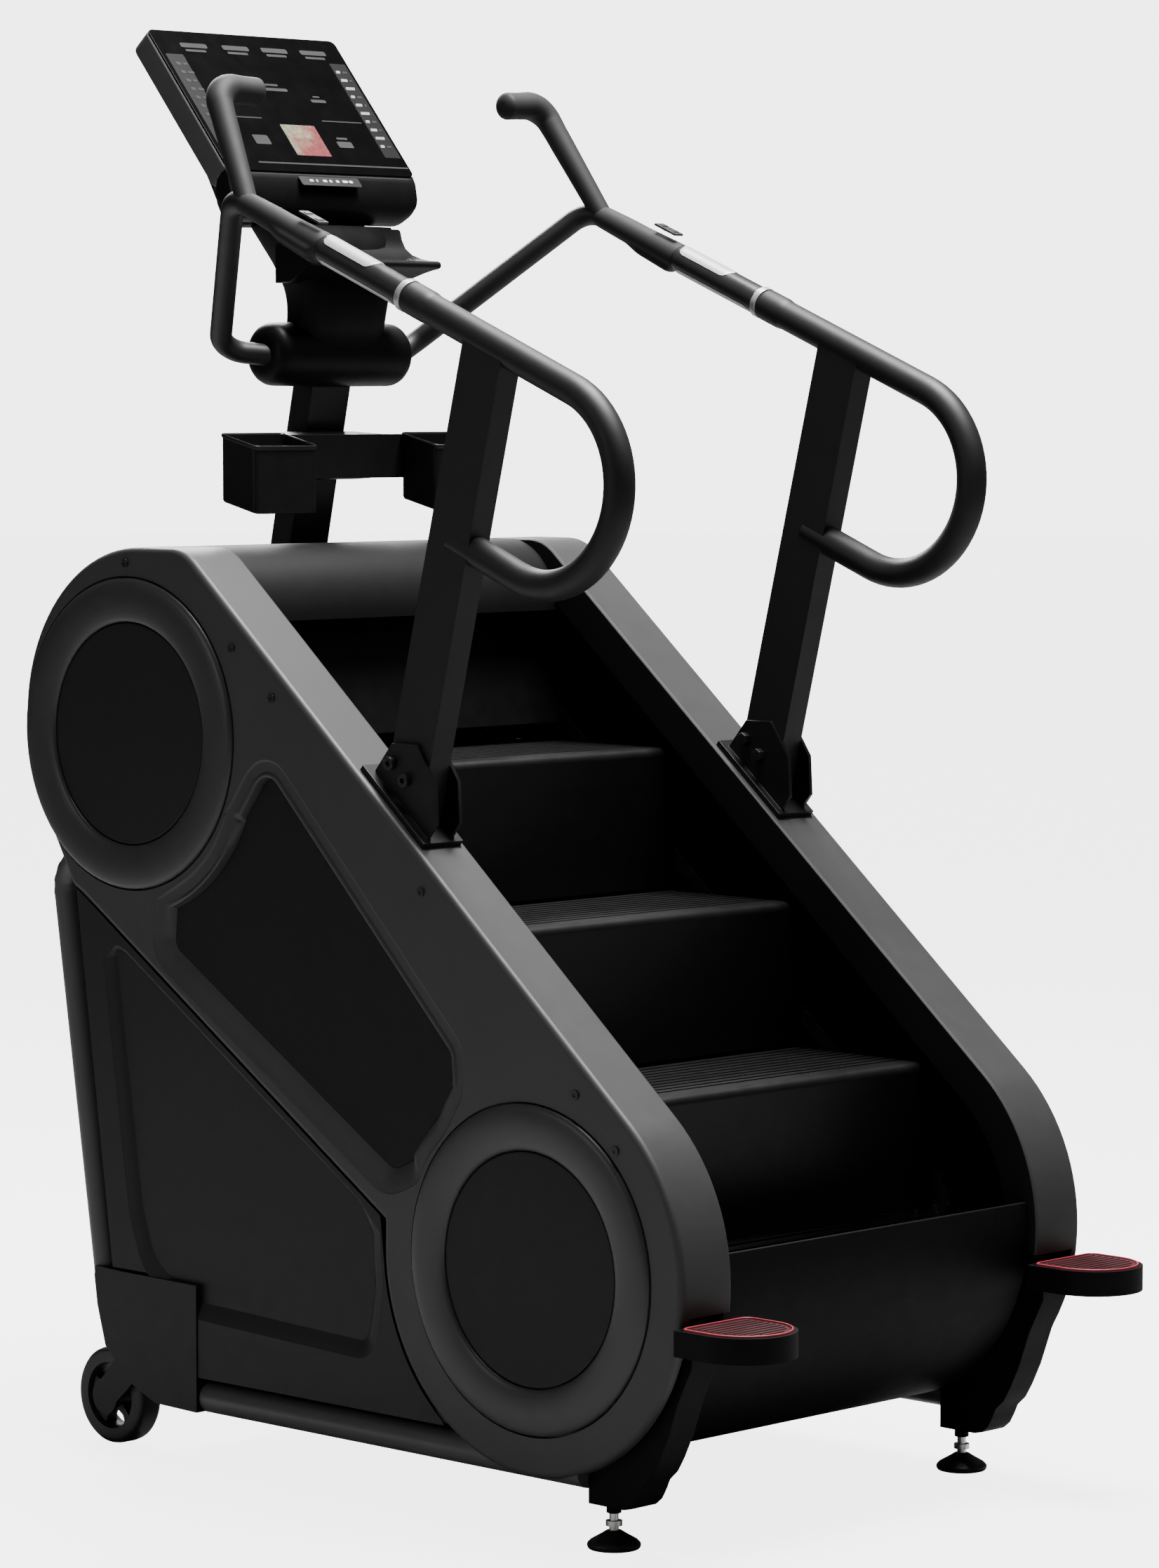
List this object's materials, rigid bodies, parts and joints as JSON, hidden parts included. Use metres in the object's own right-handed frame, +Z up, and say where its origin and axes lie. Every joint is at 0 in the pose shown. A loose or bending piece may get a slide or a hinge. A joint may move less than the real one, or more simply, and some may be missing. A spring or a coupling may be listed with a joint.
{
  "type": "stair climber",
  "caption": "Gym stair climber: a band of revolving steps between side covers, slanted uprights with looped handrails, a console on a mast, side pedals and transport wheels.",
  "frame": {"origin": "centre of the bounding box in plan, on the floor", "axes": "+X to the right of a user who faces the console, +Y forward towards the console, +Z up"},
  "size_m": [0.846, 1.4285, 2.0372],
  "materials": {
    "cover_plastic": "satin",
    "dark_plastic": "satin",
    "gloss_black": "gloss",
    "frame_paint": "satin",
    "rail_paint": "satin",
    "ring_plastic": "satin",
    "grip_metal": "satin",
    "zinc_steel": "satin",
    "steel": "satin",
    "chain_steel": "oiled",
    "step_plastic": "ribbed",
    "rubber_black": "matte",
    "red_pad": "matte",
    "glass_black": "gloss",
    "switch_plastic": "satin"
  },
  "bodies": {
    "frame": {"base_frame": "frame_paint", "side_plates": "frame_paint", "front_legs": "frame_paint", "side_cover_left": "cover_plastic", "side_cover_right": "cover_plastic", "inset_panels": "dark_plastic", "base_panel_left": "dark_plastic", "base_panel_right": "dark_plastic", "rear_corners": "frame_paint", "disc_rings": "ring_plastic", "disc_caps": "dark_plastic", "bridge_cover": "cover_plastic", "front_guard": "dark_plastic", "rear_cover": "cover_plastic", "belly_pan": "frame_paint", "rear_tubes": "gloss_black", "cover_screws": "zinc_steel", "upright_left": "rail_paint", "upright_right": "rail_paint", "upright_brackets": "frame_paint", "upright_bolts": "zinc_steel", "handrail_left": "rail_paint", "handrail_right": "rail_paint", "pulse_grips": "grip_metal", "grip_collars": "grip_metal", "rail_sleeve_left": "rubber_black", "rail_sleeve_right": "rubber_black", "stub_handle_left": "rubber_black", "stub_handle_right": "rubber_black", "mast": "frame_paint", "neck_hub": "dark_plastic", "console_housing": "dark_plastic", "console_glass": "glass_black", "console_tray": "dark_plastic", "bin_left": "dark_plastic", "bin_right": "dark_plastic", "bin_bracket": "frame_paint", "pedal_left": "dark_plastic", "pedal_right": "dark_plastic", "pedal_trims": "red_pad", "chains": "chain_steel", "chain_guides": "dark_plastic", "bearings": "steel", "brake_stator": "frame_paint", "drive_belt": "rubber_black", "power_inlet": "dark_plastic"},
    "climbing_steps": {"steps_climbing": "step_plastic"},
    "return_steps": {"steps_return": "step_plastic"},
    "lower_drive": {"lower_shaft": "steel", "step_bottom": "step_plastic"},
    "upper_drive": {"upper_shaft": "steel", "step_top": "step_plastic", "drive_pulley": "steel"},
    "brake_wheel": {"brake_rotor": "steel"},
    "left_wheel": {"wheel_left": "rubber_black"},
    "right_wheel": {"wheel_right": "rubber_black"},
    "left_foot": {"foot_left": "rubber_black"},
    "right_foot": {"foot_right": "rubber_black"},
    "left_switch": {"thumb_switch_left": "switch_plastic"},
    "right_switch": {"thumb_switch_right": "switch_plastic"}
  },
  "joints": [
    {"name": "steps_slide", "type": "slide", "parent": "frame", "child": "climbing_steps", "axis": [0, 0.7638, 0.6455], "range_m": [-0.02, 0.23]},
    {"name": "return_slide", "type": "slide", "parent": "frame", "child": "return_steps", "axis": [0, 0.7638, 0.6455], "range_m": [-0.2305, 0.0205]},
    {"name": "lower_shaft_turn", "type": "hinge", "parent": "frame", "child": "lower_drive", "pos_m": [0, -0.306, 0.361], "axis": [-1, 0, 0], "range_deg": [-14.1, 160.8]},
    {"name": "upper_shaft_turn", "type": "hinge", "parent": "frame", "child": "upper_drive", "pos_m": [0, 0.48697, 1.03111], "axis": [-1, 0, 0], "range_deg": [-14.1, 160.8]},
    {"name": "brake_turn", "type": "hinge", "parent": "frame", "child": "brake_wheel", "pos_m": [0, 0.418, 0.33], "axis": [-1, 0, 0], "range_deg": [-60, 670]},
    {"name": "left_wheel_turn", "type": "hinge", "parent": "frame", "child": "left_wheel", "pos_m": [-0.342, 0.585, 0.07], "axis": [1, 0, 0], "continuous": true},
    {"name": "right_wheel_turn", "type": "hinge", "parent": "frame", "child": "right_wheel", "pos_m": [0.342, 0.585, 0.07], "axis": [1, 0, 0], "continuous": true},
    {"name": "left_foot_screw", "type": "slide", "parent": "frame", "child": "left_foot", "axis": [0, 0, -1], "range_m": [0, 0.025]},
    {"name": "right_foot_screw", "type": "slide", "parent": "frame", "child": "right_foot", "axis": [0, 0, -1], "range_m": [0, 0.025]},
    {"name": "left_switch_press", "type": "slide", "parent": "frame", "child": "left_switch", "axis": [0, 0.3778, -0.9259], "range_m": [0, 0.0015], "stiffness_N_per_m": 1500},
    {"name": "right_switch_press", "type": "slide", "parent": "frame", "child": "right_switch", "axis": [0, 0.3778, -0.9259], "range_m": [0, 0.0015], "stiffness_N_per_m": 1500}
  ],
  "couplings": [
    {"joint": "return_slide", "follows": "steps_slide", "ratio": -1},
    {"joint": "lower_shaft_turn", "follows": "steps_slide", "rad_per_m": 12.188},
    {"joint": "upper_shaft_turn", "follows": "steps_slide", "rad_per_m": 12.188},
    {"joint": "brake_turn", "follows": "steps_slide", "rad_per_m": 50.712}
  ]
}
